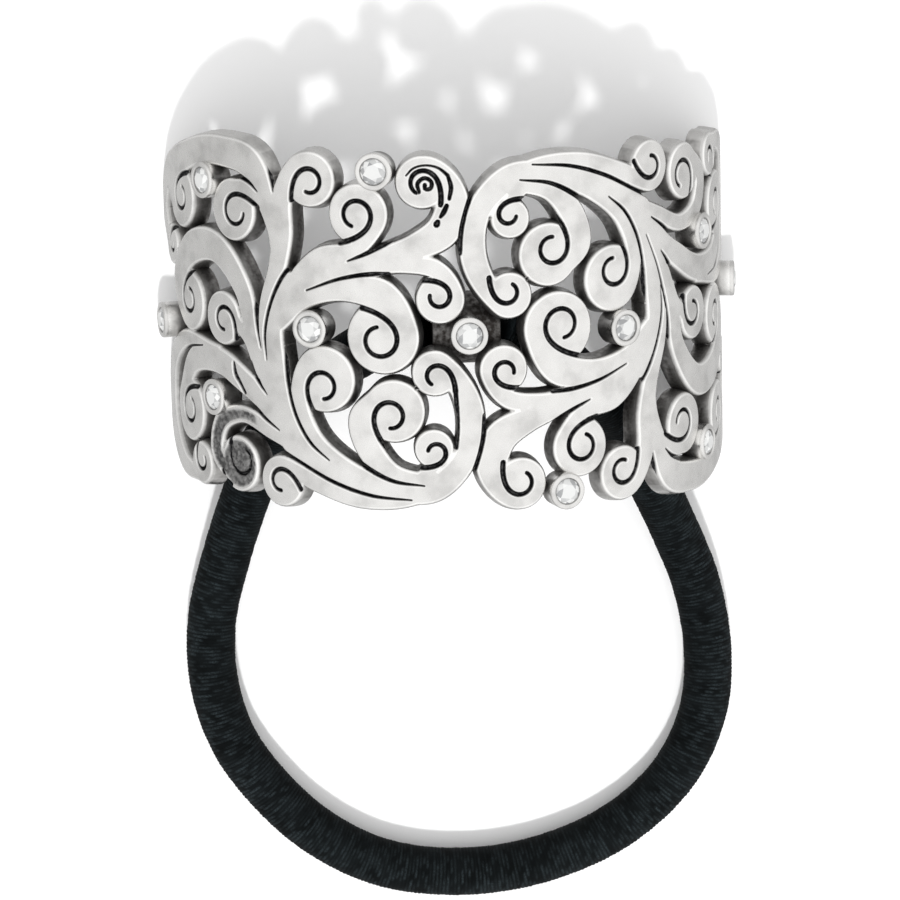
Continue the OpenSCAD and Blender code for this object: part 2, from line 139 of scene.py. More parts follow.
# The same on one half alone
LONE_LINES = [
    # Strokes on the left half's curl at the upper end of the gap
    [(-4.7, 12.1, 0.4), (-4.2, 12.6, 0.5), (-3.3, 12.85, 0.5), (-2.2, 12.6, 0.6), (-1.6, 12.1, 0.8)],
    [(-1.55, 12, 0.8), (-1.35, 11.2, 1), (-1.5, 10.3, 0.8)],
    [(-1.7, 9.8, 1), (-1.95, 9.3, 1.1), (-2.2, 8.95, 0.7)],
    [(-2.4, 8.6, 1.1), (-2.5, 8.4, 1.4)],
    [(-3.75, 10.85, 0.8), (-3.85, 11.5, 0.9), (-3.3, 11.9, 0.9), (-2.8, 11.6, 0.9), (-2.9, 11.1, 0.9),
     (-3.3, 11.1, 0.9), (-3.3, 11.4, 0.9)],
    # The left half's stem beside the lower end of the gap
    [(-1.35, -4.4, 1), (-1.32, -6, 1.2), (-1.32, -7.4, 1.1), (-1.4, -8.6, 0.9)],
    # The left half's side panel
    [(-20.4, -2.9, 0.9), (-20.2, -3.8, 1.3), (-19.8, -4.3, 1.1), (-19.2, -5.1, 0.9)],
    [(-22.4, -11.6, 0.9), (-21.9, -12.3, 1.4), (-21.2, -12.6, 1)],
    # Where the right half's line beside its trunk is longer than the left half's
    [(15.2, 6.4, 0.4), (16.45, 3.8, 0.6), (17, 2.2, 0.8), (17.5, 0.5, 0.8)],
]

# The left half's scroll whose face is sunk between rims, stippled and dark: its row in SCROLLS, over
# which distances from its rims and which places along u the face sinks, then how deep, the range of
# its pits as shares of that, and their spacing
DARK_SCROLL = 16
DARK_RIM = (0.3, 0.5)
DARK_END = (-17.6, -18.6)
DARK_DEPTH = 0.12
DARK_PITS = (0.5, 1.6)
DARK_GRAIN = 0.16

# The crystals as (u, v, how much higher than the rest its bezel stands): the one in the middle, then
# those that half a turn repeats
CRYSTALS = [(-0.25, 0, 0), (-7.08, 12.45, 0), (-12.5, 0.42, 0), (-23.1, 11.1, 0),
            (-22.6, -5.8, 0), (-30.8, -0.8, 0.5)]

# Middle line of the elastic, from the sleeve round the loop and back to the sleeve, as
# (x, y, height as a share of the way up to the sleeve)
ROUTE = [
    (-3.2, 0, 1), (-5.6, -0.7, 0.934), (-8.4, -2.4, 0.776), (-11.1, -4.8, 0.592),
    (-13.5, -7.6, 0.395), (-15.3, -11, 0.22), (-16.7, -15, 0.1), (-18.5, -20.4, 0.026),
    (-19.9, -26, 0), (-19.9, -31, 0), (-18.5, -36, 0), (-15.7, -40.3, 0), (-12.2, -43.9, 0),
    (-7, -47, 0), (0, -48.3, 0), (7.4, -47.4, 0), (13.4, -44.8, 0), (18.2, -40.3, 0),
    (20.5, -35, 0), (20.8, -30, 0), (19.9, -24.6, 0.007), (17.7, -19, 0.066), (15.6, -14.6, 0.19),
    (13.6, -10.6, 0.386), (11.4, -7.4, 0.59), (8.6, -4.5, 0.776), (5.6, -1.6, 0.934), (2.7, 0, 1),
]


# Camera and light

def add_camera():
    """Looks down on the cuff as the photograph does, with its scale worked out at the crown."""
    turn, tilt, roll = 0.093, 0.18, 0.024
    distance = 262.5
    # The lens is right of and below the crown, and is aimed further below it
    px_per_mm = 300 / CUFF_R
    lens_right_px, lens_down_px, aim_down_px = 5.4, 44, 70
    right = Vector((math.cos(turn), 0, math.sin(turn)))
    up = Vector((math.sin(turn) * math.sin(tilt), math.cos(tilt), -math.cos(turn) * math.sin(tilt)))
    back = right.cross(up)
    rolled_right = math.cos(roll) * right - math.sin(roll) * up
    rolled_up = math.sin(roll) * right + math.cos(roll) * up
    crown = Vector((-CUFF_R * math.sin(turn), 0, CUFF_R * math.cos(turn) + AXIS_Z))
    below_lens = crown + (lens_right_px / px_per_mm) * rolled_right \
        - (lens_down_px / px_per_mm) * rolled_up
    place = below_lens + distance * back
    aim = below_lens - (aim_down_px / px_per_mm) * rolled_up
    z = (place - aim).normalized()
    x = rolled_up.cross(z).normalized()
    y = z.cross(x)
    data = bpy.data.cameras.new("camera")
    data.sensor_width = 36
    data.lens = 140
    data.clip_start = 0.01
    data.clip_end = 20
    camera = bpy.data.objects.new("camera", data)
    bpy.context.collection.objects.link(camera)
    camera.matrix_world = Matrix.Translation(place * MM) @ Matrix((x, y, z)).transposed().to_4x4()
    bpy.context.scene.camera = camera


def add_key_light():
    """Small lamp above the front of the loop, which throws the arch's shadow behind it."""
    place, aim = Vector((-0.05, -0.255, 0.555)), Vector((0, -0.01, 0.01))
    side, power = 0.04, 2.0
    data = bpy.data.lights.new("key", "AREA")
    data.shape = "RECTANGLE"
    data.size = data.size_y = side
    data.energy = power
    light = bpy.data.objects.new("key", data)
    light.location = place
    light.rotation_euler = (place - aim).to_track_quat("Z", "Y").to_euler()
    light.visible_glossy = False
    bpy.context.collection.objects.link(light)


def add_world():
    """White studio, darker low down and to the left, so that the arch shades off to its sides."""
    brightest = (0.2, -0.1, 0.95)
    shades = {"From Min": -0.3, "From Max": 0.6, "To Min": 0.68, "To Max": 1.14}
    world = bpy.data.worlds.new("studio")
    world.use_nodes = True
    tree = world.node_tree
    place = tree.nodes.new("ShaderNodeTexCoord")
    height = tree.nodes.new("ShaderNodeVectorMath")
    height.operation = "DOT_PRODUCT"
    height.inputs[1].default_value = brightest
    shade = tree.nodes.new("ShaderNodeMapRange")
    for key, value in shades.items():
        shade.inputs[key].default_value = value
    tree.links.new(place.outputs["Generated"], height.inputs[0])
    tree.links.new(height.outputs["Value"], shade.inputs["Value"])
    background = tree.nodes["Background"]
    background.inputs["Color"].default_value = (1, 1, 1, 1)
    tree.links.new(shade.outputs[0], background.inputs["Strength"])
    bpy.context.scene.world = world


# Helpers for meshes and materials

def new_object(name, verts, faces, material, smooth=True):
    mesh = bpy.data.meshes.new(name)
    mesh.from_pydata([tuple(v) for v in verts], [], [tuple(f) for f in faces])
    mesh.update()
    mesh.materials.append(material)
    if smooth:
        mesh.shade_smooth()
    obj = bpy.data.objects.new(name, mesh)
    bpy.context.collection.objects.link(obj)
    return obj


def add_values(obj, name, values, domain="POINT"):
    """One number at each vertex or face, which the materials read by name."""
    attribute = obj.data.attributes.new(name, "FLOAT", domain)
    attribute.data.foreach_set("value", np.asarray(values, dtype=np.float32))


class Nodes:
    """Short way to build a material's nodes."""

    # A Mix node's sockets for its two colours, and the one that it gives
    MIX_A, MIX_B, MIX_OUT = 6, 7, 2

    def __init__(self, name):
        self.material = bpy.data.materials.new(name)
        self.material.use_nodes = True
        self.tree = self.material.node_tree
        self.shader = self.tree.nodes["Principled BSDF"]

    def add(self, kind, inputs=(), **settings):
        node = self.tree.nodes.new(kind)
        for key, value in settings.items():
            setattr(node, key, value)
        for key, value in dict(inputs).items():
            self.put(node, key, value)
        return node

    def put(self, node, key, value):
        if isinstance(value, bpy.types.NodeSocket):
            self.tree.links.new(value, node.inputs[key])
        else:
            node.inputs[key].default_value = value

    def value(self, name):
        return self.add("ShaderNodeAttribute", attribute_name=name).outputs["Fac"]

    def noise(self, size_mm, detail, stretch=(1, 1, 1)):
        """Noise whose grain is about size_mm, as a number from 0 to 1."""
        place = self.add("ShaderNodeTexCoord").outputs["Object"]
        mapping = self.add("ShaderNodeMapping", {"Vector": place, "Scale": stretch})
        return self.add("ShaderNodeTexNoise", {"Vector": mapping.outputs[0],
                        "Scale": 1 / (size_mm * MM), "Detail": detail}).outputs["Fac"]

    def math(self, operation, a, b, clamp=False):
        return self.add("ShaderNodeMath", {0: a, 1: b}, operation=operation,
                        use_clamp=clamp).outputs[0]

    def spread(self, value, low, high, to_low=0.0, to_high=1.0):
        return self.add("ShaderNodeMapRange", {"Value": value, "From Min": low, "From Max": high,
                        "To Min": to_low, "To Max": to_high}).outputs[0]

    def mix(self, factor, a, b):
        node = self.add("ShaderNodeMix", {0: factor}, data_type="RGBA")
        self.put(node, self.MIX_A, a)
        self.put(node, self.MIX_B, b)
        return node.outputs[self.MIX_OUT]

    def bump(self, height, strength, distance_mm):
        return self.add("ShaderNodeBump", {"Height": height, "Strength": strength,
                        "Distance": distance_mm * MM}).outputs[0]

    def finish(self, **inputs):
        for key, value in inputs.items():
            self.put(self.shader, key.replace("_", " "), value)
        return self.material


# Curves

CURVE_STEPS = 12


def rate(s, i, span=2):
    """Change of the sections s at place i, for each millimetre along their first span values."""
    j, k = max(i, 1), min(i, len(s) - 2)
    a, b = s[j] - s[j - 1], s[k + 1] - s[k]
    la, lb = np.linalg.norm(a[:span]), np.linalg.norm(b[:span])
    return (a * lb / la + b * la / lb) / (la + lb)


def between(start, end, a, b, t):
    """Point at share t of a smooth curve from start to end, which leaves by a and arrives by b."""
    return ((2 * t**3 - 3 * t**2 + 1) * start + (t**3 - 2 * t**2 + t) * a
            + (3 * t**2 - 2 * t**3) * end + (t**3 - t**2) * b)


def curve(sections, end=None):
    """Smooth curve through sections, which leaves the last one along end."""
    s = np.array(sections, dtype=float)
    n = len(s) - 1
    if end is None:
        end = (s[n] - s[n - 1])[:2]
        end = end / np.linalg.norm(end)
    out = []
    for i in range(n):
        length = np.linalg.norm((s[i + 1] - s[i])[:2])
        a = rate(s, i) * length
        b = rate(s, i + 1) * length
        if i == n - 1:
            b = np.array([end[0] * length, end[1] * length, s[n][2] - s[i][2]])
        out += [between(s[i], s[i + 1], a, b, k / CURVE_STEPS) for k in range(CURVE_STEPS)]
    return np.array(out + [s[n]])


def length_to(points):
    """Length of the line through points, up to each of them."""
    steps = np.linalg.norm(np.diff(points, axis=0), axis=1)
    return np.concatenate([[0], np.cumsum(steps)])


def spaced(path, along, count):
    """The path at count even steps, where along is its length up to each of its points."""
    at = np.linspace(0, along[-1], count + 1)
    return np.stack([np.interp(at, along, column) for column in path.T], axis=1)


def even_path(path, step):
    """The same path of (u, v, width) with its points an even step apart."""
    along = length_to(path[:, :2])
    return spaced(path, along, max(3, int(along[-1] / step)))


def even_loop(loop, step):
    """The closed loop smoothed a little, with its points an even step apart."""
    for _ in range(2):
        loop = loop / 2 + (np.roll(loop, 1, 0) + np.roll(loop, -1, 0)) / 4
    loop = np.concatenate([loop, loop[:1]])
    along = length_to(loop)
    return spaced(loop, along, max(3, int(round(along[-1] / step))))[:-1]


# Scrollwork, worked out flat

# Half of an engraved spiral's reach dies away as it turns by a few times SPIRAL_DROP degrees, and a
# further SPIRAL_PITCH of it with each whole turn
SPIRAL_STEPS = 60
SPIRAL_DROP = 32
SPIRAL_PITCH = 0.13

# Width of a spiral at its mouth, as a share of GROOVE_W, and how much less it is at the eye
SPIRAL_MOUTH = 1.05
SPIRAL_TAPER = 0.3

# What the other engraved lines are narrower by, because their soft shoulders widen them
LINE_TRIM = 0.05

# How far inside the metal a point is taken to be where none is near
FAR_OUTSIDE = -5.0

# How far from a stem and from an engraved line the distance to it still matters
STEM_MARGIN = 1.0
LINE_MARGIN = 0.4


def polar(r, degrees):
    return r * np.array([math.cos(math.radians(degrees)), math.sin(math.radians(degrees))])


def stem_curve(row):
    """Stem of a scroll, up to where it runs onto its disc."""
    sections, disc, _, entry, hand, _, _, width = row
    end = np.array(disc[:2]) + polar(disc[2] - width / 2, entry)
    return curve([*sections, (*end, width)], polar(hand, entry + 90))


def spiral(row):
    """Engraved line of a scroll, from its disc's edge to its eye, as (u, v, width)."""
    _, _, eye, _, hand, opening, turn_all, _ = row
    t = np.linspace(0, 1, SPIRAL_STEPS + 1)
    turn = turn_all * t
    r = eye[2] * (0.5 * np.exp(-turn / SPIRAL_DROP) + 0.5 - SPIRAL_PITCH * turn / 360)
    a = np.radians(opening + hand * turn)
    width = GROOVE_W * (SPIRAL_MOUTH - SPIRAL_TAPER * t)
    return np.stack([eye[0] + r * np.cos(a), eye[1] + r * np.sin(a), width], axis=1)


def engraved(sections):
    """Engraved line through sections, whose widths are shares of GROOVE_W."""
    return curve(sections) * (1, 1, GROOVE_W) - (0, 0, LINE_TRIM)


def inside_path(field, points, path, margin):
    """Raises field to how far each point lies inside the ribbon along path; outside is negative."""
    half = path[:, 2].max() / 2 + margin
    lo, hi = path[:, :2].min(0) - half, path[:, :2].max(0) + half
    near = np.flatnonzero(((points >= lo) & (points <= hi)).all(axis=1))
    p = points[near]
    best = field[near]
    for a, b in zip(path[:-1], path[1:]):
        d = b[:2] - a[:2]
        t = np.clip(((p - a[:2]) @ d) / max(d @ d, 1e-12), 0, 1)
        away = np.hypot(p[:, 0] - a[0] - t * d[0], p[:, 1] - a[1] - t * d[1])
        best = np.maximum(best, (a[2] + (b[2] - a[2]) * t) / 2 - away)
    field[near] = best


def inside(points, paths, discs=(), margin=STEM_MARGIN):
    """How far each point lies inside the nearest of the ribbons and discs; outside is negative."""
    field = np.full(len(points), FAR_OUTSIDE)
    for path in paths:
        inside_path(field, points, path, margin)
    for u, v, r in discs:
        field = np.maximum(field, r - np.hypot(points[:, 0] - u, points[:, 1] - v))
    return field


class Sheet:
    """The flat scrollwork: how far a point lies inside the metal, and inside an engraved line."""

    def __init__(self):
        self.stems = [stem_curve(row) for row in SCROLLS] + [curve(s) for s in TRUNKS]
        for path in self.stems:
            path[:, 2] += 2 * RIM
        self.discs = [(u, v, r + RIM) for _, (u, v, r), *_ in SCROLLS]
        half = [spiral(row) for row in SCROLLS] + [engraved(s) for s in LINES]
        turned = [path * (-1, -1, 1) for path in half]
        self.grooves = half + turned + [engraved(s) for s in LONE_LINES]

    def metal(self, points):
        """The pattern's half and its partner, half a turn away, both cut off at the feet."""
        both = np.maximum(*(inside(p, self.stems, self.discs) for p in (points, -points)))
        return np.minimum(both, FOOT_U - np.abs(points[:, 0]))

    def groove(self, points):
        return inside(points, self.grooves, margin=LINE_MARGIN)

    def dark(self, points):
        """1 on the sunk, stippled face of the left half's dark scroll, 0 elsewhere."""
        depth = inside(points, [self.stems[DARK_SCROLL]], [self.discs[DARK_SCROLL]])
        past_end = np.interp(-points[:, 0], [-u for u in DARK_END], (0, 1))
        return np.interp(depth, DARK_RIM, (0, 1)) * past_end


# The plate

# Half sizes of the field that is searched for the metal's edges, its grid, and the fewest points that
# a loop found on it has
SEARCH_HALF = (FOOT_U + 0.35, 15.2)
GRID = 0.1
SHORTEST_LOOP = 6

# Spacing of the points along a cut line and over the plain face, and how far along the cuff the
# points of the face reach
POINT_STEP = 0.14
FACE_STEP = 0.8
FACE_V = 15

# Points closer than this are one point
WELD = 1e-4

# Level lines that the face is cut along: how far inside the metal's edge, and how far below the face
EDGE_LEVELS = [(0, 0.26), (0.07, 0.12), (0.17, 0.035), (0.3, 0)]
EDGE_SOFT = EDGE_LEVELS[-1][0]

# The same for the engraved lines, from their shoulder to their floor
GROOVE_LEVELS = [(-0.13, 0), (-0.04, 0.04), (0.03, 0.15), (0.1, 0.44)]

# How far from an engraved line the points that fill the face stay
CLEAR_OF_LINE = 0.16

# From how far inside the edge, and outside an engraved line, the face shades as one smooth arch
SMOOTH_FROM_EDGE = 0.28
SMOOTH_FROM_LINE = 0.12

# Side walls, from the face's edge down: depth, and how far the metal stands out there, then the least
# height of a row
WALL_ROWS = [(0.32, 0.02), (0.7, 0.09), (1.15, 0.16), (1.48, 0.18), (PLATE_T, 0.1)]
WALL_ROW_MIN = 0.03

# The walls on the cuff's own borders are polished. They are looked for beyond POLISH_V, by rays that
# run side by side from a point straight away from the middle, and by the share of them that are free
POLISH_V = 6
POLISH_ASIDE = (-1.2, -0.6, 0, 0.6, 1.2)
POLISH_REACH = np.arange(0.5, 8, 0.5)
POLISH_FREE = (0.35, 0.9)


def level_loops(field, level, lo):
    """Closed lines on which a grid of values equals level, each as an array of points."""
    above = field > level
    across = above[:, 1:] != above[:, :-1]
    upward = above[1:, :] != above[:-1, :]
    across_id = np.full(across.shape, -1)
    upward_id = np.full(upward.shape, -1)
    across_id[across] = np.arange(across.sum())
    upward_id[upward] = across.sum() + np.arange(upward.sum())
    i, j = np.nonzero(across)
    t = (level - field[i, j]) / (field[i, j + 1] - field[i, j])
    first = np.stack([j + t, i], axis=1)
    i, j = np.nonzero(upward)
    t = (level - field[i, j]) / (field[i + 1, j] - field[i, j])
    points = np.concatenate([first, np.stack([j, i + t], axis=1)]) * GRID + lo
    sides = np.stack([across_id[:-1], upward_id[:, 1:], across_id[1:], upward_id[:, :-1]], axis=-1)
    count = (sides >= 0).sum(-1)
    links = {}

    def link(a, b):
        links.setdefault(a, []).append(b)
        links.setdefault(b, []).append(a)

    for row, col in zip(*np.nonzero(count == 2)):
        link(*(int(s) for s in sides[row, col] if s >= 0))
    for row, col in zip(*np.nonzero(count == 4)):
        s = [int(x) for x in sides[row, col]]
        middle = field[row:row + 2, col:col + 2].mean() > level
        apart = bool(above[row, col]) != bool(middle)
        link(s[0], s[3 if apart else 1])
        link(s[2], s[1 if apart else 3])
    loops = []
    left = set(links)
    for start in links:
        if start not in left:
            continue
        chain = [start]
        left.remove(start)
        while ahead := [k for k in links[chain[-1]] if k in left]:
            chain.append(ahead[0])
            left.remove(ahead[0])
        loops.append(points[chain])
    return loops


def beside_path(path, inset):
    """Closed line around a path, inset from its outline, or None where it is too narrow all along."""
    away = path[:, 2] / 2 - inset
    use = away > 0.01
    if use.sum() < 3:
        return None
    path, away = path[use], away[use]
    ahead = np.gradient(path[:, :2], axis=0)
    ahead /= np.linalg.norm(ahead, axis=1, keepdims=True)
    side = np.stack([-ahead[:, 1], ahead[:, 0]], axis=1) * away[:, None]
    caps = []
    for end, forward in ((-1, ahead[-1]), (0, -ahead[0])):
        a = math.atan2(forward[1], forward[0])
        turn = a + np.array([1, 0, -1]) * math.pi / 4
        caps.append(path[end, :2] + away[end] * np.stack([np.cos(turn), np.sin(turn)], axis=1))
    return np.concatenate([path[:, :2] + side, caps[0], (path[:, :2] - side)[::-1], caps[1]])


def triangulate(points, edges):
    """Delaunay triangles that keep to edges. Returns points, triangles and each point's sources."""
    out = delaunay_2d_cdt([Vector(p) for p in points], edges, [], 0, WELD)
    return np.array([tuple(v) for v in out[0]]), np.array(out[2]), out[3]


def grid_points(spacing):
    """Points all over the sheet, with every other row half a step aside."""
    u = np.arange(-FOOT_U + spacing / 2, FOOT_U, spacing)
    v = np.arange(-FACE_V, FACE_V, spacing)
    uu, vv = np.meshgrid(u, v)
    uu[1::2] += spacing / 2
    return np.stack([uu.ravel(), vv.ravel()], axis=1)


def bent(points, height):
    """Points of the flat sheet, in metres on the arch, at a height above its face."""
    angle = points[:, 0] / CUFF_R
    r = CUFF_R + height
    return MM * np.stack([r * np.sin(angle), points[:, 1], r * np.cos(angle) + AXIS_Z], axis=1)


def profile(value, levels):
    """Depth at a place inside an edge or a groove, between the levels that are cut there."""
    at = [a for a, _ in levels]
    depth = [d for _, d in levels]
    return np.interp(value, at, depth)


def face_lines(sheet):
    """Points and edges of the lines that the face is cut along, round its edges and its grooves."""
    lo = -np.array(SEARCH_HALF)
    cols, rows = (int(2 * half / GRID) + 1 for half in SEARCH_HALF)
    uu, vv = np.meshgrid(lo[0] + np.arange(cols) * GRID, lo[1] + np.arange(rows) * GRID)
    metal = sheet.metal(np.stack([uu.ravel(), vv.ravel()], axis=1)).reshape(rows, cols)
    points, edges = [], []

    def add_line(line, closed=True):
        first, n = len(points), len(line)
        points.extend(line)
        edges.extend((first + k, first + (k + 1) % n) for k in range(n if closed else n - 1))

    for level, _ in EDGE_LEVELS:
        for loop in level_loops(metal, level, lo):
            if len(loop) >= SHORTEST_LOOP:
                add_line(even_loop(loop, POINT_STEP))
    for path in sheet.grooves:
        path = even_path(path, POINT_STEP)
        add_line(path[:, :2], closed=False)
        for level, _ in GROOVE_LEVELS:
            around = beside_path(path, level)
            if around is not None:
                add_line(around)
    return points, edges


def face_filling(sheet):
    """Points that fill the face between its lines, close together where it is stippled."""
    plain, stippled = grid_points(FACE_STEP), grid_points(DARK_GRAIN)
    inner = np.concatenate([plain[sheet.dark(plain) == 0], stippled[sheet.dark(stippled) > 0]])
    return inner[(sheet.metal(inner) > EDGE_SOFT) & (sheet.groove(inner) < -CLEAR_OF_LINE)]


def back_mesh(sheet, edge, edge_pairs):
    """Points that fill the back, and its triangles, which count the edge's points before those."""
    inner = grid_points(FACE_STEP)
    inner = inner[sheet.metal(inner) > EDGE_SOFT]
    points, tris, sources = triangulate(np.concatenate([edge, inner]), edge_pairs.tolist())
    tris = tris[sheet.metal(points[tris].mean(axis=1)) > 0]
    home = np.array([min(source) if source else 0 for source in sources])
    return inner, home[tris]


def open_edges(tris):
    """Edges that only one triangle has, in that triangle's direction."""
    edges = np.concatenate([tris[:, [0, 1]], tris[:, [1, 2]], tris[:, [2, 0]]])
    key = np.sort(edges, axis=1)
    _, first, count = np.unique(key, axis=0, return_index=True, return_counts=True)
    return edges[first[count == 1]]


def out_of_metal(verts, rim_edges):
    """Direction along the sheet out of the metal, at each point of its edge."""
    out = np.zeros((len(verts), 2))
    run = verts[rim_edges[:, 1]] - verts[rim_edges[:, 0]]
    side = np.stack([run[:, 1], -run[:, 0]], axis=1)
    np.add.at(out, rim_edges[:, 0], side)
    np.add.at(out, rim_edges[:, 1], side)
    return out / np.maximum(np.linalg.norm(out, axis=1, keepdims=True), 1e-9)


def on_border(sheet, points):
    """1 for points on the edge with no metal between them and the cuff's border, down to 0."""
    far = np.flatnonzero(np.abs(points[:, 1]) > POLISH_V)
    way = np.sign(points[far, 1])
    free = np.zeros(len(points))
    for aside in POLISH_ASIDE:
        clear = np.ones(len(far), dtype=bool)
        for away in POLISH_REACH:
            left = np.flatnonzero(clear)
            shift = np.stack([np.full(len(left), aside), away * way[left]], axis=1)
            clear[left] = sheet.metal(points[far[left]] + shift) < 0
        free[far] += clear / len(POLISH_ASIDE)
    return np.interp(free, POLISH_FREE, (0, 1))


def set_flat_normals(mesh, which, flat):
    """The face between its rims and lines shades as one smooth arch."""
    normals = np.zeros(len(mesh.vertices) * 3)
    mesh.vertices.foreach_get("normal", normals)
    normals = normals.reshape(-1, 3)
    angle = flat[:, 0] / CUFF_R
    normals[which] = np.stack([np.sin(angle), np.zeros(len(flat)), np.cos(angle)], axis=1)
    mesh.normals_split_custom_set_from_vertices(normals)


def build_plate(sheet, material):
    """The pierced plate: its face with engraved lines, its side walls and its back."""
    points, edges = face_lines(sheet)
    points.extend(face_filling(sheet))
    verts, tris, _ = triangulate(points, edges)
    tris = tris[sheet.metal(verts[tris].mean(axis=1)) > 0]
    metal, groove, dark = sheet.metal(verts), sheet.groove(verts), sheet.dark(verts)
    line_depth = profile(groove, GROOVE_LEVELS)
    pits = np.random.default_rng(3).uniform(*DARK_PITS, len(verts))
    depth = np.maximum(profile(metal, EDGE_LEVELS), line_depth) + DARK_DEPTH * dark * pits
    rim_edges = open_edges(tris)
    rim = np.unique(rim_edges)
    depth[rim] = np.maximum(depth[rim], EDGE_LEVELS[0][1])
    rank = np.full(len(verts), -1)
    rank[rim] = np.arange(len(rim))

    shape, below, faces = [bent(verts, -depth)], [depth], list(tris)
    out = out_of_metal(verts, rim_edges)[rim]
    upper, start, down = rim_edges, len(verts), depth[rim]
    for row_depth, flare in WALL_ROWS:
        row = verts[rim] + flare * out
        row[:, 0] = np.clip(row[:, 0], -FOOT_U, FOOT_U)
        down = np.maximum(row_depth, down + WALL_ROW_MIN)
        shape.append(bent(row, -down))
        below.append(down)
        lower = start + rank[rim_edges]
        faces.extend(np.stack([upper[:, 1], upper[:, 0], lower[:, 0], lower[:, 1]], axis=1))
        upper = lower
        start += len(rim)

    inner, back_tris = back_mesh(sheet, verts[rim], rank[rim_edges])
    shape.append(bent(inner, np.full(len(inner), -PLATE_T)))
    below.append(np.full(len(inner), PLATE_T))
    faces.extend((start - len(rim) + back_tris)[:, ::-1])

    plate = new_object("cuff_plate", np.concatenate(shape), faces, material)
    add_values(plate, "below_face", np.concatenate(below))
    elsewhere = np.zeros(sum(len(part) for part in shape[1:]))
    for name, on_face in (("line_depth", line_depth), ("dark_face", dark)):
        add_values(plate, name, np.concatenate([on_face, elsewhere]))
    add_values(plate, "on_wall", np.concatenate([np.zeros(len(verts)), elsewhere + 1]))
    border = np.zeros(len(verts))
    border[rim] = on_border(sheet, verts[rim])
    walls = np.tile(border[rim], len(WALL_ROWS))
    add_values(plate, "polished", np.concatenate([border, walls, np.zeros(len(inner))]))
    smooth = (metal > SMOOTH_FROM_EDGE) & (groove < -SMOOTH_FROM_LINE) & (dark == 0)
    set_flat_normals(plate.data, np.flatnonzero(smooth), verts[smooth])
    return plate


# Bezels, crystals and sleeve

# Outline of a bezel as (radius, height): its wall below the face, then its rolled rim and the dark
# seat inside it, whose heights start at the bezel's own
BEZEL_SIDES = 48
BEZEL_H = 0.55
BEZEL_WALL = [(1.26, -1.5), (1.36, -1.3), (1.39, -0.6)]
BEZEL_RIM = [(1.42, -0.3), (1.42, -0.16), (1.38, -0.06), (1.3, -0.01), (1.2, 0), (1.09, -0.03)]
BEZEL_SEAT = [(1, -0.09), (0.96, -0.16), (0.99, -0.26), (1.03, -0.5), (0.6, -1), (0.02, -1.1)]

# Depth that the silver's patina and painted shade go by: all over the seat, and as a share of the
# depth down the wall
SEAT_BELOW = 0.35
BEZEL_BELOW = 0.6

# Radius of the crystals, how far their girdles lie below the bezels' rims, the degrees that each is
# turned further than the one before, and the glint of their tables, which all face the light alike
STONE_R = 1.01
STONE_SINK = 0.18
STONE_TURN = 17
TABLE_GLINT = 0.68


def crystal_places():
    """Number of each crystal, its place on the sheet and its bezel's height above the face."""
    for i in range(2 * len(CRYSTALS) - 1):
        u, v, extra = CRYSTALS[(i + 1) // 2]
        half = 1 if i % 2 or i == 0 else -1
        yield i, half * u, half * v, BEZEL_H + extra


def on_arch(u, v):
    """Matrix that puts something modelled in millimetres on the arch's face, +Z outwards."""
    angle = u / CUFF_R
    place = Vector((CUFF_R * math.sin(angle), v, CUFF_R * math.cos(angle) + AXIS_Z)) * MM
    return Matrix.Translation(place) @ Matrix.Rotation(angle, 4, "Y") @ Matrix.Scale(MM, 4)


def lathe(outline, sides):
    """Verts and faces of an outline of (r, z) turned about Z."""
    verts, faces = [], []
    for r, z in outline:
        for k in range(sides):
            a = 2 * math.pi * k / sides
            verts.append((r * math.cos(a), r * math.sin(a), z))
    for i in range(len(outline) - 1):
        for k in range(sides):
            j = (k + 1) % sides
            faces.append((i * sides + k, i * sides + j, (i + 1) * sides + j, (i + 1) * sides + k))
    return verts, faces


def build_bezels(material):
    """Round cups with thick rolled rims, one under each crystal."""
    verts, faces, below = [], [], []
    for _, u, v, height in crystal_places():
        outside = BEZEL_WALL + [(r, z + height) for r, z in BEZEL_RIM]
        seat = [(r, z + height) for r, z in BEZEL_SEAT]
        part, part_faces = lathe(outside + seat, BEZEL_SIDES)
        first = len(verts)
        matrix = on_arch(u, v)
        verts.extend(matrix @ Vector(p) for p in part)
        faces.extend(tuple(first + k for k in f) for f in part_faces)
        # Depths that darken the bezel's wall and seat with patina and painted shade
        for depth in [max(0, -z) * BEZEL_BELOW for _, z in outside] + [SEAT_BELOW] * len(seat):
            below.extend([depth] * BEZEL_SIDES)
    bezels = new_object("cuff_bezels", verts, faces, material)
    add_values(bezels, "below_face", below)
    add_values(bezels, "on_wall", [1.0 if depth > 0 else 0.0 for depth in below])
    return bezels


